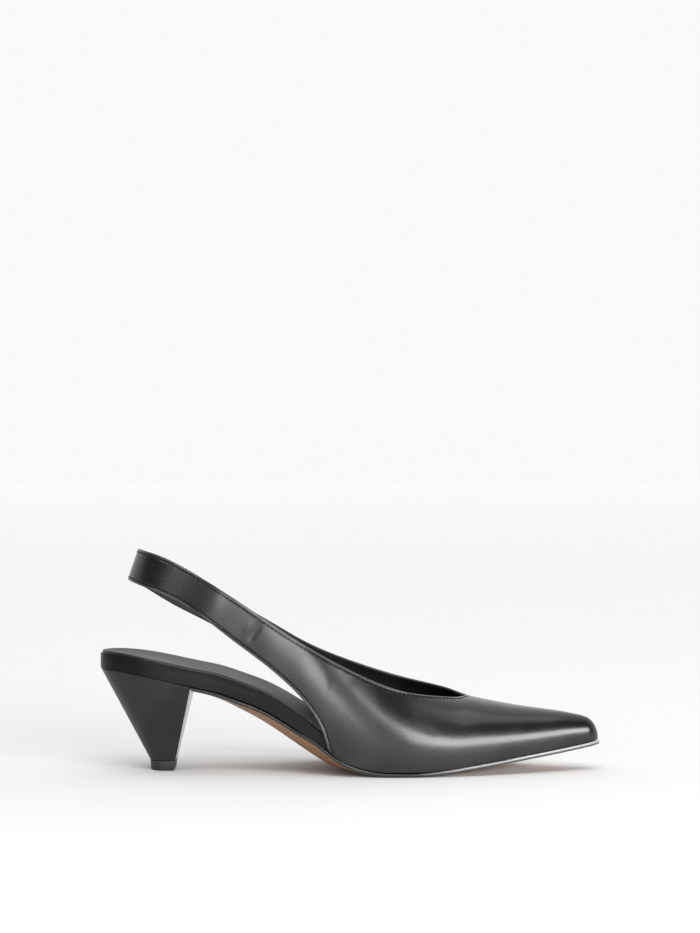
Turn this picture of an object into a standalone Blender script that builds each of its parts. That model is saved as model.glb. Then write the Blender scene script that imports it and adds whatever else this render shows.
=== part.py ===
# Slingback pump, left shoe: a pointed toe, a low cut vamp, quarters that run back into
# a one-piece heel strap, and a leather covered heel.
# Metres, +Z up, toe towards +X. The inner side of the foot is -Y, the outer side +Y.
# The floor is Z = 0, and X = 0 is the middle of the shoe's length.

import bpy
import bmesh
import numpy as np
from mathutils import Vector

# Driving sizes
LENGTH = 0.2600             # back of the heel seat to the tip of the toe
BALL_WIDTH = 0.0700         # insole board at the ball
SEAT_HEIGHT = 0.0530        # underside of the board over the floor, at the back of the heel
TOE_SPRING = 0.0134         # underside of the sole over the floor, at the tip of the toe
ARCH_RISE = 0.0083          # how far the inner edge of the sole arches over its middle
OUTSOLE = 0.0020            # thickness of the leather outsole
BOARD = 0.0079              # height of the covered board's side at the heel
BOARD_EDGE = 0.0009         # rounding of the covered board's upper edge
SOCK = 0.0015               # thickness of the padded insole
SOCK_INSET = 0.0011         # edge of the board left bare round the insole
SEAT_DIP = 0.0016           # how far the middle of the seat lies under its rim
WALL = 0.0016               # upper leather and its lining
GAP = 0.0003                # clearance between pieces that are glued in the real shoe
FLANGE = 0.0007             # outsole edge that stands out round the forefoot
WAIST_INSET = 0.0008        # outsole edge set in under the covered board at the waist
STRAP_RISE = 0.0550         # top of the strap at the back over the seat rim
STRAP_BACK = 0.0170         # depth of the round bend at the back of the strap
THROAT_AT = 0.7323          # throat of the vamp, as a share of the length
QUARTER_AT = 0.4000         # here the quarter has its own sections, as a share of the length
STRAP_AT = 0.2700           # behind here the sections are those of the strap
STRAP_CROWN = 0.1600        # height at which the strap's sections would close over the foot
THROAT_RISE = 0.0332        # throat of the vamp over the feather line
TOE_ROUND = 0.0110          # length of the rounding at the front of the toe
FULLNESS = 2.2              # how square the sections of the upper are; 2 is an ellipse
HEEL_BREAST_AT = 0.1865     # front face of the heel at its top, as a share of the length
TIP_BREAST_AT = 0.1525      # front face of the heel at its foot
TIP_BACK_AT = 0.1000        # back of the heel at its foot
TIP_WIDTH = 0.0176          # width of the heel at its foot
TIP_TAPER = 0.0007          # how far the top piece narrows down to the floor, each side
TOP_PIECE = 0.0054          # height of the rubber top piece
SOLE_EDGE = 0.0004          # rounding of the outsole's edge
SOCK_EDGE = 0.00075         # rounding of the insole's upper edge
SOCK_END = 0.0066           # front end of the insole behind the tip of the board
SOCK_ROUND = 0.0044         # length of the rounding at the insole's front end
WAIST_AT = 0.3950           # behind here the outsole's edge is set in, as a share of the length
FOREFOOT_AT = 0.4400        # ahead of here the outsole's edge stands out
ARCH_REACH = 1.2            # the arch goes on rising to this share of the half width
TOE_BLUNT = 3.2             # how square the ridge falls to the tip of the toe
FOOT_ROUND = 0.55           # share of the heel foot's length that its round back takes
TIP_EDGE = 0.0007           # height of the chamfer round the foot of the top piece
TIP_FOOT = 0.00112          # how far the face on the floor is set in, each side
INNER, OUTER = -1.0, 1.0

# How finely the forms are cut
HEEL_STEPS = 12
SECTION_STEPS = 10
BEND_STEPS = 6
CUT_STEPS = 22
SIDE_STEPS = 14
VAMP_STEPS = 15
STATIONS = 46
END_STEPS = 7
END_ROUND = 0.0120          # length over which the round ends of plates are cut finely
FINE = 600                  # points along the curves from which the forms are cut
BALL_STEPS = 60
HEEL_LEVELS = (0.0, 0.34, 0.67, 1.0)
ACROSS = (-1.0, -0.90, -0.74, -0.52, -0.26, 0.0, 0.26, 0.52, 0.74, 0.90, 1.0)
NARROW = 0.08               # most of a half width that an edge's rounding may take
SLIM = 0.05                 # least half width, as a share of the ball width, to take shares of
MOST_OUT = 0.97             # most of a half width at which the topline may lie
MERGE = 2e-6
TINY = 1e-9

# Board outline: at = share of the board's length; inner, outer = shares of the ball width
OUTLINE = [
    dict(at=0.000, inner=0.000, outer=0.000),
    dict(at=0.012, inner=0.130, outer=0.130),
    dict(at=0.040, inner=0.232, outer=0.232),
    dict(at=0.085, inner=0.318, outer=0.322),
    dict(at=0.140, inner=0.354, outer=0.366),
    dict(at=0.200, inner=0.348, outer=0.372),
    dict(at=0.260, inner=0.338, outer=0.378),
    dict(at=0.340, inner=0.354, outer=0.420),
    dict(at=0.430, inner=0.402, outer=0.484),
    dict(at=0.530, inner=0.444, outer=0.530),
    dict(at=0.620, inner=0.452, outer=0.540),
    dict(at=0.700, inner=0.418, outer=0.490),
    dict(at=0.780, inner=0.346, outer=0.392),
    dict(at=0.860, inner=0.242, outer=0.266),
    dict(at=0.925, inner=0.150, outer=0.162),
    dict(at=0.970, inner=0.086, outer=0.092),
    dict(at=0.993, inner=0.042, outer=0.044),
    dict(at=1.000, inner=0.000, outer=0.000),
]

# Sole profile: at = share of the length; heel = share of the seat height and
# spring = share of the toe spring, both for the middle of the underside;
# arch = share of the arch rise at the inner edge; outer_arch = the same at the outer edge;
# rim = height of the board's side, as a share of the board's height at the heel;
# dip = share of the seat dip
PROFILE = [
    dict(at=0.000, heel=0.9566, spring=0.0, arch=0.00, outer_arch=0.00, rim=1.00, dip=0.2),
    dict(at=0.040, heel=0.9470, spring=0.0, arch=0.00, outer_arch=0.00, rim=1.00, dip=0.8),
    dict(at=0.080, heel=0.9200, spring=0.0, arch=0.00, outer_arch=0.00, rim=1.00, dip=1.0),
    dict(at=0.120, heel=0.8810, spring=0.0, arch=0.00, outer_arch=0.00, rim=1.00, dip=1.0),
    dict(at=0.160, heel=0.8380, spring=0.0, arch=0.00, outer_arch=0.00, rim=1.00, dip=1.0),
    dict(at=0.190, heel=0.7990, spring=0.0, arch=0.05, outer_arch=0.03, rim=1.00, dip=1.0),
    dict(at=0.240, heel=0.7020, spring=0.0, arch=0.33, outer_arch=0.25, rim=1.02, dip=1.2),
    dict(at=0.280, heel=0.6010, spring=0.0, arch=0.54, outer_arch=0.42, rim=1.02, dip=1.4),
    dict(at=0.325, heel=0.4800, spring=0.0, arch=0.79, outer_arch=0.62, rim=1.02, dip=1.6),
    dict(at=0.365, heel=0.3500, spring=0.0, arch=0.95, outer_arch=0.74, rim=1.04, dip=1.6),
    dict(at=0.405, heel=0.2150, spring=0.0, arch=1.00, outer_arch=0.76, rim=1.06, dip=1.4),
    dict(at=0.443, heel=0.0940, spring=0.0, arch=0.92, outer_arch=0.66, rim=1.00, dip=1.2),
    dict(at=0.470, heel=0.0260, spring=0.0, arch=0.66, outer_arch=0.46, rim=0.88, dip=1.0),
    dict(at=0.500, heel=0.0000, spring=0.0, arch=0.38, outer_arch=0.25, rim=0.70, dip=0.8),
    dict(at=0.535, heel=0.0000, spring=0.0, arch=0.12, outer_arch=0.08, rim=0.52, dip=0.5),
    dict(at=0.570, heel=0.0000, spring=0.0, arch=0.00, outer_arch=0.00, rim=0.38, dip=0.3),
    dict(at=0.630, heel=0.0000, spring=0.0, arch=0.00, outer_arch=0.00, rim=0.30, dip=0.1),
    dict(at=0.677, heel=0.0000, spring=0.075, arch=0.00, outer_arch=0.00, rim=0.29, dip=0.0),
    dict(at=0.750, heel=0.0000, spring=0.265, arch=0.00, outer_arch=0.00, rim=0.28, dip=0.0),
    dict(at=0.846, heel=0.0000, spring=0.530, arch=0.00, outer_arch=0.00, rim=0.26, dip=0.0),
    dict(at=0.935, heel=0.0000, spring=0.785, arch=0.00, outer_arch=0.00, rim=0.22, dip=0.0),
    dict(at=1.000, heel=0.0000, spring=1.000, arch=0.00, outer_arch=0.00, rim=0.18, dip=0.0),
]

# Lower edge of the strap and rear edge of the quarter, from the back of the strap down to
# the sole: at = share of the length; up = share of the strap rise over the seat rim;
# ahead = how far ahead the top of the section lies, as a share of the length
INNER_CUT = [
    dict(at=0.0538, up=0.705, ahead=0.0212),
    dict(at=0.1190, up=0.660, ahead=0.0250),
    dict(at=0.1900, up=0.570, ahead=0.0345),
    dict(at=0.2615, up=0.396, ahead=0.0425),
    dict(at=0.3340, up=0.275, ahead=0.0445),
    dict(at=0.3730, up=0.223, ahead=0.0420),
    dict(at=0.4040, up=0.172, ahead=0.0300),
    dict(at=0.4280, up=0.107, ahead=0.0150),
    dict(at=0.4440, up=0.030, ahead=0.0065),
    dict(at=0.4530, up=-0.060, ahead=0.0020),
]
OUTER_CUT = [
    dict(at=0.0538, up=0.705, ahead=0.0212),
    dict(at=0.0930, up=0.610, ahead=0.0260),
    dict(at=0.1330, up=0.528, ahead=0.0300),
    dict(at=0.1730, up=0.468, ahead=0.0340),
    dict(at=0.2170, up=0.400, ahead=0.0385),
    dict(at=0.2650, up=0.320, ahead=0.0420),
    dict(at=0.3200, up=0.244, ahead=0.0430),
    dict(at=0.3650, up=0.186, ahead=0.0400),
    dict(at=0.4000, up=0.128, ahead=0.0270),
    dict(at=0.4250, up=0.062, ahead=0.0130),
    dict(at=0.4400, up=-0.010, ahead=0.0055),
    dict(at=0.4490, up=-0.090, ahead=0.0020),
]
CORNER_AT = dict(inner=0.4580, outer=0.4540)

# Topline, from the back of the strap to the throat: at = share of the length; up = share of
# the strap rise over the seat rim; out = half width as a share of the ball width
INNER_TOPLINE = [
    dict(at=0.0750, up=1.016, out=0.262),
    dict(at=0.1115, up=1.010, out=0.266),
    dict(at=0.1846, up=0.925, out=0.292),
    dict(at=0.2654, up=0.786, out=0.334),
    dict(at=0.3435, up=0.686, out=0.366),
    dict(at=0.4231, up=0.691, out=0.382),
    dict(at=0.5000, up=0.785, out=0.376),
    dict(at=0.5577, up=0.753, out=0.348),
    dict(at=0.6077, up=0.689, out=0.304),
    dict(at=0.6577, up=0.640, out=0.234),
    dict(at=0.6960, up=0.595, out=0.150),
    dict(at=0.7210, up=0.567, out=0.076),
]
OUTER_TOPLINE = [
    dict(at=0.0750, up=1.016, out=0.262),
    dict(at=0.1208, up=0.908, out=0.270),
    dict(at=0.1640, up=0.832, out=0.286),
    dict(at=0.2058, up=0.772, out=0.304),
    dict(at=0.2500, up=0.698, out=0.326),
    dict(at=0.3435, up=0.613, out=0.372),
    dict(at=0.4231, up=0.645, out=0.400),
    dict(at=0.5000, up=0.787, out=0.402),
    dict(at=0.5800, up=0.775, out=0.366),
    dict(at=0.6427, up=0.713, out=0.290),
    dict(at=0.6870, up=0.656, out=0.184),
    dict(at=0.7180, up=0.597, out=0.092),
]

# Ridge of the vamp: at = share of the length; up = share of the throat rise
RIDGE = [
    dict(at=0.7323, up=1.000),
    dict(at=0.7885, up=0.849),
    dict(at=0.8408, up=0.720),
    dict(at=0.8923, up=0.608),
    dict(at=0.9308, up=0.521),
    dict(at=0.9608, up=0.433),
    dict(at=1.0000, up=0.345),
]

# Swell of the upper over the feather line: at = share of the length;
# belly = share of the ball width; draw = share of the board's own half width that the
# foot of the strap's and the quarter's sections keeps
SWELL = [
    dict(at=0.000, belly=0.000, draw=0.76),
    dict(at=0.120, belly=0.000, draw=0.765),
    dict(at=0.190, belly=0.000, draw=0.84),
    dict(at=0.260, belly=0.006, draw=0.95),
    dict(at=0.350, belly=0.018, draw=1.00),
    dict(at=0.500, belly=0.034, draw=1.00),
    dict(at=0.620, belly=0.034, draw=1.00),
    dict(at=0.760, belly=0.030, draw=1.00),
    dict(at=0.900, belly=0.018, draw=1.00),
    dict(at=1.000, belly=0.008, draw=1.00),
]


def column(rows, name):
    return np.array([row[name] for row in rows])


def steady(xs, ys, x):
    """Smooth curve through points that never overshoots between two of them."""
    steps = np.diff(xs)
    slopes = np.diff(ys) / steps
    tangents = np.zeros(len(xs))
    tangents[0], tangents[-1] = slopes[0], slopes[-1]
    for i in range(1, len(xs) - 1):
        if slopes[i - 1] * slopes[i] > 0.0:
            before = 2.0 * steps[i] + steps[i - 1]
            after = steps[i] + 2.0 * steps[i - 1]
            tangents[i] = (before + after) / (before / slopes[i - 1] + after / slopes[i])
    x = np.clip(x, xs[0], xs[-1])
    i = np.clip(np.searchsorted(xs, x, side="right") - 1, 0, len(steps) - 1)
    t = (x - xs[i]) / steps[i]
    rise = ys[i] * (1 + 2 * t) * (1 - t) ** 2 + ys[i + 1] * t * t * (3 - 2 * t)
    return rise + steps[i] * (tangents[i] * t * (1 - t) ** 2 - tangents[i + 1] * t * t * (1 - t))


def fair(along, values, where):
    """Natural cubic spline: the curve that a thin batten takes through the points."""
    count = len(along)
    steps = np.diff(along)
    matrix = np.eye(count)
    right = np.zeros(count)
    for i in range(1, count - 1):
        matrix[i, i - 1] = steps[i - 1]
        matrix[i, i] = 2.0 * (steps[i - 1] + steps[i])
        matrix[i, i + 1] = steps[i]
        right[i] = 3.0 * ((values[i + 1] - values[i]) / steps[i]
                          - (values[i] - values[i - 1]) / steps[i - 1])
    bend = np.linalg.solve(matrix, right)
    i = np.clip(np.searchsorted(along, where, side="right") - 1, 0, count - 2)
    t = where - along[i]
    slope = (values[i + 1] - values[i]) / steps[i] - steps[i] * (2 * bend[i] + bend[i + 1]) / 3
    return values[i] + slope * t + bend[i] * t ** 2 + (bend[i + 1] - bend[i]) / (3 * steps[i]) * t ** 3


def batten(points, count):
    """Points spaced along a fair curve through the given ones, one column per value."""
    points = np.array(points)
    chords = np.linalg.norm(np.diff(points[:, :2], axis=0), axis=1)
    along = np.concatenate([[0.0], np.cumsum(chords)])
    where = np.linspace(0.0, along[-1], count)
    return np.stack([fair(along, points[:, i], where) for i in range(points.shape[1])], axis=1)


# Plan: the outline of the board and its offsets
BACK = -LENGTH / 2
BOARD_LENGTH = LENGTH - FLANGE - WALL - GAP


def plan_side(side):
    name = "inner" if side == INNER else "outer"
    rows = [(BACK + row["at"] * BOARD_LENGTH, row[name] * BALL_WIDTH) for row in OUTLINE]
    return batten(rows, FINE)


PLAN = {side: plan_side(side) for side in (INNER, OUTER)}


def half_width(side, x, grow=0.0):
    """Half width of the board's outline at x, with the outline offset outwards by grow."""
    points = PLAN[side]
    tangent = np.gradient(points, axis=0)
    tangent[0] = (0.0, 1.0)
    tangent[-1] = (0.0, -1.0)
    tangent /= np.linalg.norm(tangent, axis=1)[:, None]
    normal = np.stack([-tangent[:, 1], tangent[:, 0]], axis=1)
    moved = points + normal * grow
    order = np.maximum.accumulate(moved[:, 0])
    keep = np.concatenate([[True], np.diff(order) > TINY])
    return np.interp(x, moved[keep, 0], np.maximum(moved[keep, 1], 0.0))


def widest(side):
    """Half width of the finished sole at the ball."""
    places = BACK + LENGTH * np.linspace(0.5, 0.7, BALL_STEPS)
    return max(half_width(side, x, WALL + GAP + FLANGE) for x in places)


# The forms are drawn about the line from heel to toe, and then moved to the middle of the width
SIDEWAYS = (widest(INNER) - widest(OUTER)) / 2


# Side view: the sole's underside and the seat rim
def share(x):
    return (x - BACK) / LENGTH


def profile(name, x):
    return steady(column(PROFILE, "at"), column(PROFILE, name), share(x))


def side_of(y):
    return INNER if y < 0.0 else OUTER


def out_share(x, y):
    """How far out y lies, as a share of the board's half width on that side."""
    return abs(y) / max(half_width(side_of(y), x), BALL_WIDTH * SLIM)


def underside(x, y):
    """Height of the outsole's lower face over the floor."""
    middle = profile("heel", x) * SEAT_HEIGHT + profile("spring", x) * TOE_SPRING
    edge = profile("arch" if side_of(y) == INNER else "outer_arch", x) * ARCH_RISE
    return middle + edge * min(out_share(x, y), ARCH_REACH) ** 2


def outsole_top(x, y):
    return underside(x, y) + OUTSOLE


def board_bottom(x, y):
    return outsole_top(x, y) + GAP


def rim(x):
    """Height of the board's upper edge."""
    edge = half_width(INNER, x)
    return board_bottom(x, -edge) + profile("rim", x) * BOARD


def board_top(x, y):
    """Height of the board's upper face, which dips between its edges."""
    return rim(x) - profile("dip", x) * SEAT_DIP * (1.0 - min(out_share(x, y), 1.0) ** 2)


# Meshes and materials
def material(name, color, roughness, metallic=0.0):
    found = bpy.data.materials.new(name)
    found.use_nodes = True
    shader = found.node_tree.nodes["Principled BSDF"]
    shader.inputs["Base Color"].default_value = (*color, 1.0)
    shader.inputs["Roughness"].default_value = roughness
    shader.inputs["Metallic"].default_value = metallic
    found.diffuse_color = (*color, 1.0)
    return found


SHARP = np.radians(40.0)


def add_object(name, corners, faces, finish):
    """One closed solid from its corners and faces, facing out and shaded smooth."""
    mesh = bpy.data.meshes.new(name)
    work = bmesh.new()
    made = [work.verts.new((x, y + SIDEWAYS, z)) for x, y, z in corners]
    for face in faces:
        work.faces.new([made[i] for i in face])
    bmesh.ops.remove_doubles(work, verts=work.verts, dist=MERGE)
    bmesh.ops.dissolve_degenerate(work, edges=work.edges, dist=MERGE)
    bmesh.ops.recalc_face_normals(work, faces=work.faces)
    work.to_mesh(mesh)
    work.free()
    mesh.shade_smooth()
    mesh.set_sharp_from_angle(angle=SHARP)
    mesh.materials.append(finish)
    built = bpy.data.objects.new(name, mesh)
    bpy.context.scene.collection.objects.link(built)
    return built


def loft(name, loops, finish, close_start=False, close_end=False):
    """Skin over closed loops of as many points each; an end may be capped by strips."""
    around = len(loops[0])
    corners = [point for loop in loops for point in loop]
    faces = []
    for i in range(len(loops) - 1):
        for j in range(around):
            k = (j + 1) % around
            faces.append((i * around + j, i * around + k,
                          (i + 1) * around + k, (i + 1) * around + j))
    for wanted, base in ((close_start, 0), (close_end, (len(loops) - 1) * around)):
        if wanted:
            for j in range(around // 2 - 1):
                a, b = base + j, base + j + 1
                faces.append((a, b, base + around - 2 - j, base + around - 1 - j))
    return add_object(name, corners, faces, finish)


def stations(first, last, round_first=True, round_last=True):
    """Places along X at which plates are cut: shared ones, and more where an end is round."""
    shared = BACK + LENGTH * np.arange(1, STATIONS) / STATIONS
    ease = END_ROUND * (np.arange(END_STEPS) / END_STEPS) ** 2
    near = ease if round_first else ease[:1]
    far = ease if round_last else ease[:1]
    clear = LENGTH / STATIONS / 3.0
    middle = shared[(shared > first + near[-1] + clear) & (shared < last - far[-1] - clear)]
    return np.concatenate([first + near, middle, last - far[::-1]])


def plate_loop(x, reach, bottom, top, rounding, lip=0.0):
    """Section of a plate at x: lower face from inner to outer edge, then back over the top."""
    halves = {side: reach(side, x) for side in (INNER, OUTER)}

    def soft(side, wanted):
        return min(wanted, halves[side] * NARROW)

    def at(level, t, inset):
        y = t * halves[side_of(t)]
        if t in halves:
            y -= t * soft(t, inset)
        return y, level(x, y)

    low = [at(bottom, t, lip) for t in ACROSS]
    high = [at(top, t, rounding) for t in ACROSS]

    def side_points(side, low_end, high_end):
        y = side * halves[side]
        return [(y, (low_end[1] + high_end[1]) / 2), (y, high_end[1] - soft(side, rounding))]

    loop = low + side_points(OUTER, low[-1], high[-1]) + high[::-1]
    loop += side_points(INNER, low[0], high[0])[::-1]
    return [(x, y, z) for y, z in loop]


def outsole():
    """Leather sole from the heel breast to the toe, with an edge that shows in front."""
    start = BACK + HEEL_BREAST_AT * LENGTH + GAP
    waist_end = BACK + WAIST_AT * LENGTH
    forefoot = BACK + FOREFOOT_AT * LENGTH

    def grow(x):
        t = np.clip((x - waist_end) / (forefoot - waist_end), 0.0, 1.0)
        blend = t * t * (3.0 - 2.0 * t)
        return -WAIST_INSET + (WALL + GAP + FLANGE + WAIST_INSET) * blend

    def reach(side, x):
        return half_width(side, x, grow(x))

    places = stations(start, LENGTH / 2, round_first=False)
    loops = [plate_loop(x, reach, underside, outsole_top, SOLE_EDGE, SOLE_EDGE) for x in places]
    finish = material("outsole_leather", (0.27, 0.15, 0.08), 0.5)
    return loft("outsole", loops, finish, close_start=True)


def seat_cover():
    """Insole board, wrapped in leather where it shows from the heel to the quarters."""
    places = stations(BACK, BACK + BOARD_LENGTH)
    loops = [plate_loop(x, half_width, board_bottom, board_top, BOARD_EDGE) for x in places]
    finish = material("cover_leather", (0.028, 0.027, 0.028), 0.45)
    return loft("seat_cover", loops, finish)


def insole():
    """Padded sock that the foot stands on, with a bare edge of the board round it."""
    end = BACK + BOARD_LENGTH - SOCK_END

    def reach(side, x):
        left = np.clip((end - x) / SOCK_ROUND, 0.0, 1.0)
        return min(half_width(side, x, -SOCK_INSET), np.sqrt(1.0 - (1.0 - left) ** 2) * BALL_WIDTH)

    def bottom(x, y):
        return board_top(x, y) + GAP

    def top(x, y):
        return board_top(x, y) + GAP + SOCK

    places = stations(BACK + SOCK_INSET, end)
    loops = [plate_loop(x, reach, bottom, top, SOCK_EDGE) for x in places]
    finish = material("insole_leather", (0.045, 0.041, 0.038), 0.4)
    return loft("insole", loops, finish)


# The upper follows the last: each section is a quarter of a rounded square on each side
def swell(name, x):
    return steady(column(SWELL, "at"), column(SWELL, name), share(x))


def feather(side, x):
    """Half width of the upper's outer face at the feather line."""
    return half_width(side, x, WALL + GAP) * swell("draw", x)


def feather_height(side, x):
    return outsole_top(x, side * feather(side, x)) + GAP


def edge_curve(rows, names, last):
    """Dense points along an edge, from its rows to its last point, heights as metres."""
    points = []
    for row in rows:
        x = BACK + row["at"] * LENGTH
        height = rim(x) + row["up"] * STRAP_RISE
        extra = [row[name] * scale for name, scale in names]
        points.append([x, height] + extra)
    points.append(last)
    return batten(points, FINE)


def topline(side):
    x = BACK + THROAT_AT * LENGTH
    rows = INNER_TOPLINE if side == INNER else OUTER_TOPLINE
    last = [x, feather_height(side, x) + THROAT_RISE, 0.0]
    return edge_curve(rows, [("out", BALL_WIDTH)], last)


def cut_edge(side):
    x = BACK + CORNER_AT["inner" if side == INNER else "outer"] * LENGTH
    rows = INNER_CUT if side == INNER else OUTER_CUT
    last = [x, feather_height(side, x), 0.0]
    return edge_curve(rows, [("ahead", LENGTH)], last)


def bent(value):
    return np.clip(value, 0.0, 1.0)


def toe_fall(x):
    """Rounding that closes the ridge down to the tip of the toe."""
    tip = LENGTH / 2 - FLANGE
    t = bent((x - (tip - TOE_ROUND)) / TOE_ROUND)
    return np.sqrt(1.0 - t ** TOE_BLUNT)


class SideForm:
    """One side of the last: its half width at any place on the upper."""

    def __init__(self, side):
        self.side = side
        self.top = topline(side)
        self.cut = cut_edge(side)
        spread = bent(self.top[:, 2] / np.array([feather(side, x) for x in self.top[:, 0]]))
        rise = self.top[:, 1] - np.array([feather_height(side, x) for x in self.top[:, 0]])
        tall = rise / (1.0 - np.minimum(spread, MOST_OUT) ** FULLNESS) ** (1.0 / FULLNESS)
        quarter = BACK + QUARTER_AT * LENGTH
        t = bent((quarter - self.top[:, 0]) / (quarter - BACK - STRAP_AT * LENGTH))
        blend = t * t * (3.0 - 2.0 * t)
        tall = np.where(t > 0.0, np.interp(quarter, self.top[:, 0], tall), tall)
        self.tall = tall + (STRAP_CROWN - tall) * blend

    def height(self, x):
        """Height of the section's closed crown over the feather line."""
        if x < self.top[-1, 0]:
            return np.interp(x, self.top[:, 0], self.tall)
        return steady(column(RIDGE, "at"), column(RIDGE, "up"), share(x)) * THROAT_RISE * toe_fall(x)

    def turn(self, x, z):
        """Angle round the section at which it has height z."""
        climb = bent((z - feather_height(self.side, x)) / self.height(x))
        return np.arcsin(climb ** (FULLNESS / 2.0))

    def point(self, x, turn, bend=1.0):
        climb = np.sin(turn) ** (2.0 / FULLNESS)
        spread = max(np.cos(turn), 0.0) ** (2.0 / FULLNESS)
        belly = swell("belly", x) * BALL_WIDTH * np.sin(2.0 * turn) * toe_fall(x)
        y = (feather(self.side, x) * spread + belly) * bend
        z = feather_height(self.side, x) + self.height(x) * climb
        return Vector((x, self.side * y, z))

    def section(self, low_x, low_z, top_x, top_z, bend=1.0):
        first, last = self.turn(low_x, low_z), self.turn(top_x, top_z)
        points = []
        for t in np.linspace(0.0, 1.0, SECTION_STEPS + 1):
            x = low_x + (top_x - low_x) * t
            points.append(self.point(x, first + (last - first) * t, bend))
        return points

    def rows(self):
        """Sections from the back of the strap to the tip of the toe."""
        rows = []
        cut, top = self.cut, self.top
        low, high = Vector((cut[0, 0], 0.0, cut[0, 1])), Vector((top[0, 0], 0.0, top[0, 1]))
        rows.append([low.lerp(high, t) for t in np.linspace(0.0, 1.0, SECTION_STEPS + 1)])
        for angle in np.linspace(0.0, np.pi / 2, BEND_STEPS + 1)[1:-1]:
            x = cut[0, 0] + STRAP_BACK * (1.0 - np.cos(angle))
            z, ahead = np.interp(x, cut[:, 0], cut[:, 1]), np.interp(x, cut[:, 0], cut[:, 2])
            top_x = x + ahead
            rows.append(self.section(x, z, top_x, np.interp(top_x, top[:, 0], top[:, 1]),
                                     np.sin(angle)))
        start = int(np.searchsorted(cut[:, 0], cut[0, 0] + STRAP_BACK))
        for i in np.linspace(start, FINE - 1, CUT_STEPS + 1).astype(int):
            top_x = cut[i, 0] + cut[i, 2]
            rows.append(self.section(cut[i, 0], cut[i, 1], top_x,
                                     np.interp(top_x, top[:, 0], top[:, 1])))
        start = int(np.searchsorted(top[:, 0], cut[-1, 0]))
        for i in np.linspace(start, FINE - 1, SIDE_STEPS + 1).astype(int)[1:-1]:
            x = top[i, 0]
            rows.append(self.section(x, feather_height(self.side, x), x, top[i, 1]))
        throat, tip = top[-1, 0], LENGTH / 2 - FLANGE
        for angle in np.linspace(0.0, np.pi / 2, VAMP_STEPS + 1)[:-1]:
            x = throat + (tip - throat) * np.sin(angle)
            turns = np.linspace(0.0, np.pi / 2, SECTION_STEPS + 1)
            rows.append([self.point(x, turn) for turn in turns])
        rows.append([Vector((tip, 0.0, feather_height(self.side, tip)))] * (SECTION_STEPS + 1))
        return rows


def upper():
    """Vamp, quarters and strap: one leather wall, open underneath and along the topline."""
    inner, outer = SideForm(INNER).rows(), SideForm(OUTER).rows()
    corners, faces = [], []
    for rows in (inner, outer):
        base = len(corners)
        corners += [point for row in rows for point in row]
        wide = SECTION_STEPS + 1
        for i in range(len(rows) - 1):
            for j in range(SECTION_STEPS):
                a = base + i * wide + j
                faces.append((a, a + wide, a + wide + 1, a + 1))
    skin = bmesh.new()
    made = [skin.verts.new(corner) for corner in corners]
    for face in faces:
        skin.faces.new([made[i] for i in face])
    bmesh.ops.remove_doubles(skin, verts=skin.verts, dist=MERGE)
    bmesh.ops.dissolve_degenerate(skin, edges=skin.edges, dist=MERGE)
    bmesh.ops.recalc_face_normals(skin, faces=skin.faces)
    skin.normal_update()
    outward = sum(face.normal.y * face.calc_center_median().y for face in skin.faces) > 0.0
    into = -WALL if outward else WALL
    skin.verts.index_update()
    shell = [vert.co.copy() for vert in skin.verts]
    lining = [vert.co + vert.normal * into for vert in skin.verts]
    count = len(shell)
    solid = [[vert.index for vert in face.verts] for face in skin.faces]
    solid += [[count + vert.index for vert in reversed(face.verts)] for face in skin.faces]
    for edge in skin.edges:
        if edge.is_boundary:
            a, b = (vert.index for vert in edge.verts)
            solid.append((a, b, count + b, count + a))
    skin.free()
    finish = material("upper_leather", (0.02, 0.02, 0.022), 0.25)
    return add_object("upper", shell + lining, solid, finish)


def heel_rings(levels):
    """Plan sections of the heel between its seat and its foot, as shares of the way down."""
    seat_back, seat_front = BACK + GAP, BACK + HEEL_BREAST_AT * LENGTH
    foot_back, foot_front = BACK + TIP_BACK_AT * LENGTH, BACK + TIP_BREAST_AT * LENGTH
    shares = 1.0 - np.cos(np.linspace(0.0, np.pi / 2, HEEL_STEPS))
    rings = []
    for down in levels:
        inner_side, outer_side = [], []
        for t in shares:
            seat_x = seat_back + (seat_front - seat_back) * t
            foot_x = foot_back + (foot_front - foot_back) * t
            turn = 1.0 - min(t / FOOT_ROUND, 1.0)
            foot_half = TIP_WIDTH / 2 * np.sqrt(1.0 - turn ** 2)
            for side, points in ((INNER, inner_side), (OUTER, outer_side)):
                seat_y = side * half_width(side, seat_x, -GAP)
                seat_z = board_bottom(seat_x, 0.0) - GAP
                seat = Vector((seat_x, seat_y, seat_z))
                foot = Vector((foot_x, side * foot_half, TOP_PIECE))
                points.append(seat.lerp(foot, down))
        rings.append(inner_side + outer_side[::-1])
    return rings


def strip_solid(name, rings, finish):
    """Solid between plan sections, with its two end faces made of strips across it."""
    return loft(name, rings, finish, close_start=True, close_end=True)


def heel():
    """Leather covered block, flat at the breast, straight from the seat down to its foot."""
    finish = material("heel_leather", (0.028, 0.027, 0.028), 0.42)
    return strip_solid("heel", heel_rings(HEEL_LEVELS), finish)


def top_piece():
    """Rubber tip that meets the floor."""
    ring = heel_rings((1.0,))[0]
    middle = sum(ring, Vector()) / len(ring)
    half = max(abs(point.y) for point in ring)
    rings = []
    for height, shrink in ((TOP_PIECE - GAP, 0.0), (TIP_EDGE, TIP_TAPER), (0.0, TIP_FOOT)):
        size = 1.0 - shrink / half
        rings.append([Vector((middle.x + (p.x - middle.x) * size, p.y * size, height)) for p in ring])
    return strip_solid("top_piece", rings, material("tip_rubber", (0.02, 0.02, 0.02), 0.55))


for old in list(bpy.data.objects):
    bpy.data.objects.remove(old)
outsole()
seat_cover()
insole()
upper()
heel()
top_piece()
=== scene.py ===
import math

import bmesh
import bpy
from mathutils import Matrix, Vector
from mathutils.bvhtree import BVHTree
from mathutils.kdtree import KDTree


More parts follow.
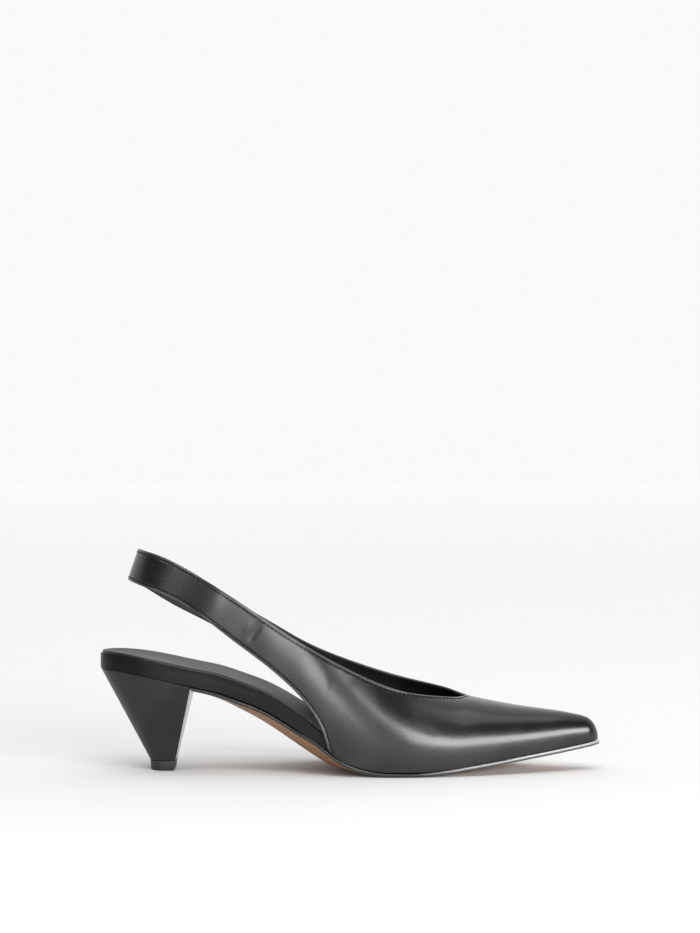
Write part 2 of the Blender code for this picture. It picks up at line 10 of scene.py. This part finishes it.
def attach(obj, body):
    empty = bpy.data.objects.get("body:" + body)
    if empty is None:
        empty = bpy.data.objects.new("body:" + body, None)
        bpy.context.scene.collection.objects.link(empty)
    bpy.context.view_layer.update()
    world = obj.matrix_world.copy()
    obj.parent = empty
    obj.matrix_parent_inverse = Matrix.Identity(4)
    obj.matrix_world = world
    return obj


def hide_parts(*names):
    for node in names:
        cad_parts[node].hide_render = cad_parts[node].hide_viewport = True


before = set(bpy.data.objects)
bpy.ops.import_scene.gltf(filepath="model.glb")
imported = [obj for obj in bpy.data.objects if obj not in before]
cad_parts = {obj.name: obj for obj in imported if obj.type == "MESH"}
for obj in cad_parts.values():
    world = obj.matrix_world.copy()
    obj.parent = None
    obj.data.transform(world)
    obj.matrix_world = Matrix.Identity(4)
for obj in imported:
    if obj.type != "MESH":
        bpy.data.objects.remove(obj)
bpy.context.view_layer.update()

scene = bpy.context.scene
MM = 0.001


# Camera: level, 1.15 m from the shoe's long axis, which lies low in the frame.
# The shoe stands toe right, with the inner side of the foot towards the lens.
CAMERA_DISTANCE = 1.15
CAMERA_HEIGHT = 0.1575
AXIS_Y = -0.0031            # the line from heel to toe lies this far to the inner side
PHOTO_TALL = 933
FOCAL_PIXELS = 2207
SENSOR = 36.0

lens = bpy.data.cameras.new("photo_camera")
lens.sensor_width = SENSOR
lens.sensor_fit = "AUTO"
lens.lens = FOCAL_PIXELS / PHOTO_TALL * SENSOR
lens.clip_start = 0.05
lens.clip_end = 60.0
camera = bpy.data.objects.new("photo_camera", lens)
camera.location = (0.0, AXIS_Y - CAMERA_DISTANCE, CAMERA_HEIGHT)
camera.rotation_euler = (math.radians(90.0), 0.0, 0.0)
scene.collection.objects.link(camera)
scene.camera = camera


# Studio: a pale sweep behind the shoe and a dark room in front of it, so that the leather
# stays black. A long low box lights the forefoot, a small one the strap, a high one the rest,
# and a wide soft light from above the paper.
SKY_SPREAD = math.radians(60.0)
SKY_LEAN = math.radians(12.0)
FRONT_AIR, BACK_AIR = 0.05, 0.95
AIR_FROM, AIR_FULL = -0.35, 0.45        # how far back a direction points, where the air brightens


def softbox(name, place, aim, width, height, power):
    """A rectangular lamp at a place, turned towards its aim."""
    lamp = bpy.data.lights.new(name, "AREA")
    lamp.shape = "RECTANGLE"
    lamp.size, lamp.size_y = width, height
    lamp.energy = power
    box = bpy.data.objects.new(name, lamp)
    box.location = place
    box.rotation_euler = (Vector(aim) - Vector(place)).to_track_quat("-Z", "Y").to_euler()
    scene.collection.objects.link(box)


softbox("forefoot_box", (1.14, -1.50, 0.43), (0.06, 0.0, 0.03), 1.9, 0.44, 42.0)
softbox("strap_box", (-0.29, -1.68, 0.26), (-0.06, 0.0, 0.07), 0.34, 0.4, 5.5)
softbox("high_box", (0.0, -0.95, 1.45), (0.0, 0.0, 0.04), 1.2, 0.45, 7.0)
sky = bpy.data.lights.new("overhead", "SUN")
sky.energy = 1.3
sky.angle = SKY_SPREAD
overhead = bpy.data.objects.new("overhead", sky)
overhead.rotation_euler = (SKY_LEAN, 0.0, 0.0)
scene.collection.objects.link(overhead)


class Value:
    """A shader socket that takes part in arithmetic, which adds Math nodes."""

    def __init__(self, tree, socket=None):
        self.tree, self.socket = tree, socket

    def node(self, kind, settings, out=0, **inputs):
        made = self.tree.nodes.new(kind)
        for name, setting in settings.items():
            setattr(made, name, setting)
        for name, value in inputs.items():
            key = int(name[1:]) if name[0] == "i" and name[1:].isdigit() else name
            if isinstance(value, Value):
                self.tree.links.new(value.socket, made.inputs[key])
            else:
                made.inputs[key].default_value = value
        return Value(self.tree, made.outputs[out])

    def math(self, operation, *others):
        inputs = {f"i{i}": other for i, other in enumerate((self, *others))}
        return self.node("ShaderNodeMath", {"operation": operation}, **inputs)

    def ramp(self, start, end, low=0.0, high=1.0):
        """Goes smoothly from low to high as the value goes from start to end."""
        return self.node("ShaderNodeMapRange", {"interpolation_type": "SMOOTHSTEP"},
                         i0=self, i1=start, i2=end, i3=low, i4=high)

    def blend(self, first, second):
        """Colour that goes from the first to the second as the value rises."""
        return self.node("ShaderNodeMix", {"data_type": "RGBA"}, out=2, i0=self, i6=first, i7=second)

    def feed(self, shader, name):
        self.tree.links.new(self.socket, shader.inputs[name])

    def __add__(self, other):
        return self.math("ADD", other)

    def __sub__(self, other):
        return self.math("SUBTRACT", other)

    def __mul__(self, other):
        return self.math("MULTIPLY", other)

    def __truediv__(self, other):
        return self.math("DIVIDE", other)

    def __rsub__(self, other):
        return self.node("ShaderNodeMath", {"operation": "SUBTRACT"}, i0=other, i1=self)

    def __rtruediv__(self, other):
        return self.node("ShaderNodeMath", {"operation": "DIVIDE"}, i0=other, i1=self)

    __radd__, __rmul__ = __add__, __mul__


room = bpy.data.worlds.new("studio_air")
room.use_nodes = True
facing = Value(room.node_tree).node("ShaderNodeTexCoord", {})
backwards = facing.node("ShaderNodeSeparateXYZ", {}, out=1, i0=facing)
air = room.node_tree.nodes["Background"]
air.inputs["Color"].default_value = (1.0, 1.0, 1.0, 1.0)
backwards.ramp(AIR_FROM, AIR_FULL, FRONT_AIR, BACK_AIR).feed(air, "Strength")
scene.world = room
scene.view_settings.view_transform = "Standard"


# Floor: a plain pale sweep of paper, which isn't part of the shoe. It glows a little far
# behind the shoe, where the lamps don't reach, so that no horizon shows.
FLOOR_SIDE = 40.0
FLOOR_GLOW = 0.32
GLOW_REACH = 0.9            # behind the shoe, where the glow has half its strength
PAPER = (0.735, 0.735, 0.735)


def finish_of(name, color, roughness, coat=0.0, coat_roughness=0.1, specular=0.5):
    """A material with its constants set; gives its shader and its coordinates too."""
    made = bpy.data.materials.new(name)
    made.use_nodes = True
    shader = made.node_tree.nodes["Principled BSDF"]
    shader.inputs["Base Color"].default_value = (*color, 1.0)
    shader.inputs["Roughness"].default_value = roughness
    shader.inputs["Coat Weight"].default_value = coat
    shader.inputs["Coat Roughness"].default_value = coat_roughness
    shader.inputs["Specular IOR Level"].default_value = specular
    return made, shader, Value(made.node_tree).node("ShaderNodeTexCoord", {}, out=3)


bpy.ops.object.select_all(action="DESELECT")
bpy.ops.mesh.primitive_plane_add(size=FLOOR_SIDE, location=(0.0, 0.0, 0.0))
floor = bpy.context.object
floor.name = "floor"
paper, paper_shader, spot = finish_of("pale_paper", PAPER, 0.9, specular=0.1)
back = spot.node("ShaderNodeSeparateXYZ", {}, out=1, i0=spot).math("MAXIMUM", 0.0)
glow = back * FLOOR_GLOW / (back + GLOW_REACH)
glow.node("ShaderNodeCombineXYZ", {}, i0=glow, i1=glow, i2=glow).feed(paper_shader, "Emission Color")
paper_shader.inputs["Emission Strength"].default_value = 1.0
floor.data.materials.append(paper)


# Covered board: the insole board under the heel and the waist, wrapped in thin black leather
# that is drawn round its edge and glued underneath. Semi-matt beside the upper.
EDGE_ANGLE = math.radians(48.0)
FLAT_ANGLE = math.radians(40.0)
SKEW_ANGLE = math.radians(80.0)
MERGE = 0.002 * MM
PORE = 0.5 * MM
PORE_DEEP = 0.12 * MM
CLOUDS, DUST = 45.0, 600.0              # how many to a metre
CLOUD_DEEP = 0.25 * MM
CLOUD_BUMP = 0.35
CLOUD_DULL, DUST_DULL = 0.05, 0.02      # how much rougher they make the leather
EDGE_SOFT = 0.3 * MM


def copy_of(node, name):
    """A copy of a frame solid as its own piece, with merged corners and four-sided faces."""
    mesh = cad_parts[node].data.copy()
    mesh.name = name
    mesh.materials.clear()
    piece = bpy.data.objects.new(name, mesh)
    scene.collection.objects.link(piece)
    work = bmesh.new()
    work.from_mesh(mesh)
    bmesh.ops.remove_doubles(work, verts=work.verts, dist=MERGE)
    bmesh.ops.join_triangles(work, faces=work.faces, angle_face_threshold=FLAT_ANGLE,
                             angle_shape_threshold=SKEW_ANGLE)
    work.to_mesh(mesh)
    work.free()
    return piece


def finish_with(piece, kind, **settings):
    """Adds a modifier to the piece and applies it."""
    if bpy.context.object and bpy.context.object.mode != "OBJECT":
        bpy.ops.object.mode_set(mode="OBJECT")
    bpy.ops.object.select_all(action="DESELECT")
    piece.select_set(True)
    bpy.context.view_layer.objects.active = piece
    modifier = piece.modifiers.new(kind.lower(), kind)
    for name, value in settings.items():
        setattr(modifier, name, value)
    bpy.ops.object.modifier_apply(modifier=modifier.name)


def soften(piece, width, levels, steps=2):
    """Rounds a piece's sharp edges over and smooths its faces."""
    finish_with(piece, "BEVEL", width=width, segments=steps, limit_method="ANGLE",
                angle_limit=EDGE_ANGLE)
    if levels:
        finish_with(piece, "SUBSURF", levels=levels, render_levels=levels)
    piece.data.shade_smooth()


def fit(piece, node):
    """The piece stands for a frame solid and moves with the shoe; the solid is hidden."""
    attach(piece, "root")
    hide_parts(node)


def leather(name, dark, light, roughness, grain, coat=0.0, coat_roughness=0.1, specular=0.5):
    """Dressed leather: fine pores over a soft unevenness, with a patchy polish."""
    made, shader, place = finish_of(name, dark, roughness, coat, coat_roughness, specular)
    pores = place.node("ShaderNodeTexVoronoi", {"feature": "F1"}, i0=place, Scale=1.0 / PORE)
    cloud = place.node("ShaderNodeTexNoise", {}, i0=place, Scale=CLOUDS, Detail=1.0)
    dust = place.node("ShaderNodeTexNoise", {}, i0=place, Scale=DUST, Detail=1.0)
    patches = cloud.ramp(0.35, 0.65)
    color = patches.blend((*dark, 1.0), (*light, 1.0))
    color.feed(shader, "Base Color")
    smoothest = roughness - (CLOUD_DULL + DUST_DULL) / 2.0
    (patches * CLOUD_DULL + dust * DUST_DULL + smoothest).feed(shader, "Roughness")
    fine = pores.node("ShaderNodeBump", {}, Strength=grain, Distance=PORE_DEEP, Height=pores)
    soft = cloud.node("ShaderNodeBump", {}, Strength=CLOUD_BUMP, Distance=CLOUD_DEEP, Height=cloud,
                      Normal=fine)
    soft.feed(shader, "Normal")
    return made, shader, color, soft


cover_leather = leather("cover_leather", (0.007, 0.0066, 0.007), (0.012, 0.0115, 0.012), 0.42, 0.03,
                        specular=0.12)[0]
cover = copy_of("seat_cover", "board_cover")
cover.data.materials.append(cover_leather)
soften(cover, EDGE_SOFT, 1)
fit(cover, "seat_cover")


# Insole: a thin padded sock of lining leather, glued over the board from the heel to the
# toes. A narrow edge of the wrapped board is left bare round it.
sock_leather = leather("sock_leather", (0.012, 0.011, 0.010), (0.024, 0.021, 0.019), 0.42, 0.03,
                       specular=0.3)[0]
sock = copy_of("insole", "padded_sock")
sock.data.materials.append(sock_leather)
soften(sock, EDGE_SOFT, 1)
fit(sock, "insole")


# Upper: glossy black calf with a kid lining, lasted over the board. Vamp, quarters and heel
# strap are one sweep of leather, folded and stitched along the topline and the rear cut. A
# painted highlight is coloured along the folds.
FOLD_SOFT = 0.35 * MM
STITCH_IN = 1.7             # mm from the folded edge to the stitches
FOLD_GLINT = 0.55           # mm from the edge, where the fold catches the light
GLINT_WIDE, GROOVE_WIDE = 0.6, 0.9      # mm to each side
GROOVE_DEEP = 0.3 * MM
# Colour of the painted highlight along the folds.
FOLD_PAINTED_HIGHLIGHT = (0.058, 0.056, 0.055, 1.0)
FOLD_END_X, FOLD_END_Z = -8.0 * MM, 12.0 * MM     # the rear cut's fold ends at the board
FOLD_STEP = 0.4 * MM


def skin_borders(work):
    """Edges where the outer skin or the lining meets a rim: the faces turn sharply there."""
    return [edge for edge in work.edges if edge.calc_face_angle(0.0) > EDGE_ANGLE]


def skins(work):
    """The outer skin and the lining, each as its faces; the outer one is the larger."""
    walls = set(skin_borders(work))
    left, groups = set(work.faces), []
    for seed in work.faces:
        if seed not in left:
            continue
        left.discard(seed)
        heap, group = [seed], []
        while heap:
            face = heap.pop()
            group.append(face)
            for edge in face.edges:
                for other in edge.link_faces:
                    if edge not in walls and other in left:
                        left.discard(other)
                        heap.append(other)
        groups.append((sum(face.calc_area() for face in group), group))
    groups.sort(key=lambda pair: -pair[0])
    return groups[0][1], groups[1][1]


def closed_runs(edges):
    """The given edges as closed runs of points."""
    links = {}
    for edge in edges:
        first, second = edge.verts
        links.setdefault(first, []).append(second)
        links.setdefault(second, []).append(first)
    runs = []
    while links:
        run, here = [], next(iter(links))
        while here in links:
            run.append(here.co.copy())
            here = next((vert for vert in links.pop(here) if vert in links), None)
        runs.append(run)
    return runs


def is_folded(point):
    """Whether a point on the lower border lies on the strap or the rear cut."""
    return point.x < FOLD_END_X and point.z > FOLD_END_Z


upper = copy_of("upper", "lasted_upper")
work = bmesh.new()
work.from_mesh(upper.data)
calf_faces, kid_faces = skins(work)
for face in kid_faces:
    face.material_index = 1
calf_set = set(calf_faces)
runs = closed_runs([edge for edge in skin_borders(work) if calf_set & set(edge.link_faces)])
runs.sort(key=lambda run: -sum(point.z for point in run) / len(run))
topline, low_border = runs[0], runs[1]
lasted = BVHTree.FromPolygons([vert.co.copy() for vert in work.verts],
                              [[vert.index for vert in face.verts] for face in calf_faces])
work.to_mesh(upper.data)
work.free()

calf, calf_shader, calf_color, calf_normal = leather(
    "black_calf", (0.006, 0.0057, 0.006), (0.011, 0.0105, 0.011), 0.27, 0.02,
    coat=0.3, coat_roughness=0.16, specular=0.4)
rim = calf_color.node("ShaderNodeAttribute", {"attribute_name": "rim"}, out=2)
glint = (rim - FOLD_GLINT).math("ABSOLUTE").ramp(0.0, GLINT_WIDE, 1.0, 0.0)
# Painted highlight: the calf is coloured lighter along the fold, at FOLD_GLINT from the edge.
glint.blend(calf_color, FOLD_PAINTED_HIGHLIGHT).feed(calf_shader, "Base Color")
groove = (rim - STITCH_IN).math("ABSOLUTE").ramp(0.0, GROOVE_WIDE, 1.0, 0.0)
groove.node("ShaderNodeBump", {"invert": True}, Strength=1.0, Distance=GROOVE_DEEP, Height=groove,
            Normal=calf_normal).feed(calf_shader, "Normal")
kid = leather("kid_lining", (0.006, 0.006, 0.006), (0.012, 0.011, 0.011), 0.55, 0.03)[0]
upper.data.materials.append(calf)
upper.data.materials.append(kid)
soften(upper, FOLD_SOFT, 2)

# Creases and soft waves of the inner side, in side view and in mm: their ends, how far they
# stand out, and how wide they are. The strap's bulge and its one sharp crease come first.
WAVES = [
    dict(start=(-56.0, 120.0), end=(-88.0, 48.0), out=1.20, wide=13.0),
    dict(start=(-50.6, 79.0), end=(-54.8, 67.4), out=0.13, wide=0.9),
    dict(start=(-45.3, 78.2), end=(-51.8, 68.2), out=-0.20, wide=1.0),
    dict(start=(14.0, 50.0), end=(40.0, 40.0), out=0.30, wide=4.5),
    dict(start=(36.5, 27.5), end=(43.5, 21.0), out=-0.12, wide=1.2),
]


def wave_push(wave, spot):
    """How far a wave moves a place of the side view outwards, in mm."""
    start, end = Vector(wave["start"]), Vector(wave["end"])
    length = (end - start).length
    along = (end - start) / length
    reach = (spot - start).dot(along)
    if not 0.0 < reach < length:
        return 0.0
    off = (spot - start - along * reach).length
    fade = 1.0 - (2.0 * reach / length - 1.0) ** 2
    return wave["out"] * fade * math.exp(-(off / wave["wide"]) ** 2)


for vert in upper.data.vertices:
    if vert.co.y < AXIS_Y:
        spot = Vector((vert.co.x, vert.co.z)) / MM
        vert.co.y -= sum(wave_push(wave, spot) for wave in WAVES) * MM

fold_points = []
for run in (topline, [point for point in low_border if is_folded(point)]):
    for first, second in zip(run, run[1:]):
        pieces = math.ceil((second - first).length / FOLD_STEP)
        fold_points += [first.lerp(second, k / pieces) for k in range(pieces)]
folds = KDTree(len(fold_points))
for i, point in enumerate(fold_points):
    folds.insert(point, i)
folds.balance()
rim_distance = upper.data.attributes.new("rim", "FLOAT", "POINT")
for vert in upper.data.vertices:
    rim_distance.data[vert.index].value = folds.find(vert.co)[2] / MM
fit(upper, "upper")


# Stitches: one row of black thread along the topline, and one along the lower edge of the
# strap and down the rear cut to the board. Lockstitch, drawn down into the calf.
STITCH_PITCH = 2.5 * MM
STITCH_LONG = 1.9 * MM
STITCH_RADIUS = 0.21 * MM
STITCH_OUT = 0.02 * MM      # how far a stitch's middle stands over the leather
STITCH_ROUND = 0.7          # of its radius, at both ends
END_ANGLE = math.radians(70.0)


def spaced(run, pitch):
    """Points at an even pitch along a closed run."""
    ring = run + run[:1]
    lengths = [(second - first).length for first, second in zip(ring, ring[1:])]
    count = round(sum(lengths) / pitch)
    step = sum(lengths) / count
    points, i, passed = [], 0, 0.0
    for k in range(count):
        while passed + lengths[i] < k * step:
            passed += lengths[i]
            i += 1
        points.append(ring[i].lerp(ring[i + 1], (k * step - passed) / lengths[i]))
    return points


def stitch_row(run, calf_skin):
    """Places of the stitches that follow an edge at a steady distance, as matrices."""
    points = spaced(run, STITCH_PITCH)
    places = []
    for i, point in enumerate(points):
        along = (points[(i + 1) % len(points)] - points[i - 1]).normalized()
        sideways = lasted.find_nearest(point)[1].cross(along).normalized() * STITCH_IN * MM
        aim = min((point + sideways, point - sideways), key=lambda spot: lasted.find_nearest(spot)[3])
        spot, up = calf_skin.find_nearest(aim)[:2]
        across = up.cross(along).normalized()
        turned = Matrix((across.cross(up), across, up)).transposed().to_4x4()
        turned.translation = spot + up * STITCH_OUT
        places.append(turned)
    return places


def joined(name, model, places, finish):
    """One mesh of equal pieces, each a copy of the model at its own place."""
    corners = [vert.co for vert in model.vertices]
    points = [place @ corner for place in places for corner in corners]
    faces = [[len(corners) * k + i for i in face.vertices]
             for k in range(len(places)) for face in model.polygons]
    mesh = bpy.data.meshes.new(name)
    mesh.from_pydata(points, [], faces)
    mesh.shade_smooth()
    mesh.materials.append(finish)
    piece = bpy.data.objects.new(name, mesh)
    scene.collection.objects.link(piece)
    return piece


bpy.ops.object.select_all(action="DESELECT")
bpy.ops.mesh.primitive_cylinder_add(vertices=6, radius=STITCH_RADIUS, depth=STITCH_LONG)
one_stitch = bpy.context.object
bpy.ops.object.mode_set(mode="EDIT")
bpy.ops.mesh.select_all(action="SELECT")
bpy.ops.transform.rotate(value=math.radians(90.0), orient_axis="Y", center_override=(0.0, 0.0, 0.0))
finish_with(one_stitch, "BEVEL", width=STITCH_RADIUS * STITCH_ROUND, segments=2,
            limit_method="ANGLE", angle_limit=END_ANGLE)
stitch_model = one_stitch.data.copy()
bpy.data.objects.remove(one_stitch)

calf_skin = BVHTree.FromPolygons([vert.co for vert in upper.data.vertices],
                                 [list(face.vertices) for face in upper.data.polygons
                                  if face.material_index == 0])
rows = stitch_row(topline, calf_skin)
rows += [place for place in stitch_row(low_border, calf_skin) if is_folded(place.translation)]
thread = finish_of("black_thread", (0.004, 0.004, 0.004), 0.8, specular=0.2)[0]
stitches = joined("upper_stitches", stitch_model, rows, thread)
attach(stitches, "root")


# Outsole: thin tan sole leather, cemented on. Its edge is trimmed, stained black and waxed,
# and a painted reflection lightens its upper half in front, where the edge stands out.
SHINE_FROM, SHINE_FULL = 34.0 * MM, 60.0 * MM
EDGE_BAND = 0.6 * MM        # width of the sole's border that belongs to its edge
UNDERSIDE = -0.55           # faces that look down more than this are left tan
PAINTED_EDGE_REFLECTION = (0.40, 0.40, 0.40, 1.0)
EDGE_STAIN = (0.012, 0.012, 0.012, 1.0)
REFLECTION_RISE, REFLECTION_START = 2.4, 0.9          # painted reflection from about 3/8 of the edge's height, full at 4/5
SOLE_SOFT = 0.25 * MM

tan_leather = leather("tan_sole", (0.26, 0.125, 0.055), (0.34, 0.175, 0.085), 0.5, 0.03)[0]
edge_black, edge_shader, edge_color, _ = leather(
    "black_edge", (0.010, 0.010, 0.010), (0.016, 0.016, 0.016), 0.24, 0.02, coat=0.4)
# Painted reflection: the edge's upper half in front is coloured light grey over the black stain.
edge_reflection = edge_color.node("ShaderNodeAttribute", {"attribute_name": "edge_reflection"}, out=2)
edge_reflection.blend(EDGE_STAIN, PAINTED_EDGE_REFLECTION).feed(edge_shader, "Base Color")
sole = copy_of("outsole", "leather_sole")
sole.data.materials.append(tan_leather)
sole.data.materials.append(edge_black)
for face in sole.data.polygons:
    face.material_index = 0 if face.normal.z < UNDERSIDE else 1


def clamped(value):
    return max(0.0, min(1.0, value))


sections = {}
for vert in sole.data.vertices:
    side = vert.co.y > AXIS_Y
    sections.setdefault((round(vert.co.x, 5), side), []).append(vert)
# How strongly each point of the edge shows the painted reflection.
shine = sole.data.attributes.new("edge_reflection", "FLOAT", "POINT")
for (x, side), section in sections.items():
    outermost = max(abs(vert.co.y - AXIS_Y) for vert in section)
    border = [vert for vert in section if abs(vert.co.y - AXIS_Y) > outermost - EDGE_BAND]
    low, high = min(vert.co.z for vert in border), max(vert.co.z for vert in border)
    ahead = clamped((x - SHINE_FROM) / (SHINE_FULL - SHINE_FROM))
    for vert in border:
        up = (vert.co.z - low) / max(high - low, MM)
        shine.data[vert.index].value = clamped(REFLECTION_RISE * up - REFLECTION_START) * ahead
soften(sole, SOLE_SOFT, 1)
fit(sole, "outsole")


# Heel: a moulded block covered in the board's leather, flat at the breast, where the
# leather is smoothest and is coloured lighter as a painted reflection. Screwed to the board from
# above.
BREAST = 0.8                # faces that look forwards more than this are the breast
HEEL_SOFT = 0.5 * MM

heel_leather = leather("heel_leather", (0.010, 0.0095, 0.010), (0.017, 0.016, 0.0165), 0.40, 0.03,
                       specular=0.35)[0]
# Painted reflection: the breast is coloured lighter grey than the rest of the heel's leather.
breast_painted_reflection = finish_of("breast_painted_reflection", (0.03, 0.03, 0.03), 0.22, coat=0.3)[0]
heel = copy_of("heel", "covered_heel")
heel.data.materials.append(heel_leather)
heel.data.materials.append(breast_painted_reflection)
for face in heel.data.polygons:
    face.material_index = 1 if face.normal.x > BREAST else 0
soften(heel, HEEL_SOFT, 0, 3)
fit(heel, "heel")


# Top piece: the black rubber tip that meets the floor. Moulded with a pin, which is driven
# up into the heel.
TIP_SOFT = 0.4 * MM

rubber = leather("tip_rubber", (0.012, 0.012, 0.012), (0.018, 0.018, 0.018), 0.55, 0.02)[0]
tip = copy_of("top_piece", "rubber_tip")
tip.data.materials.append(rubber)
soften(tip, TIP_SOFT, 0, 3)
fit(tip, "top_piece")
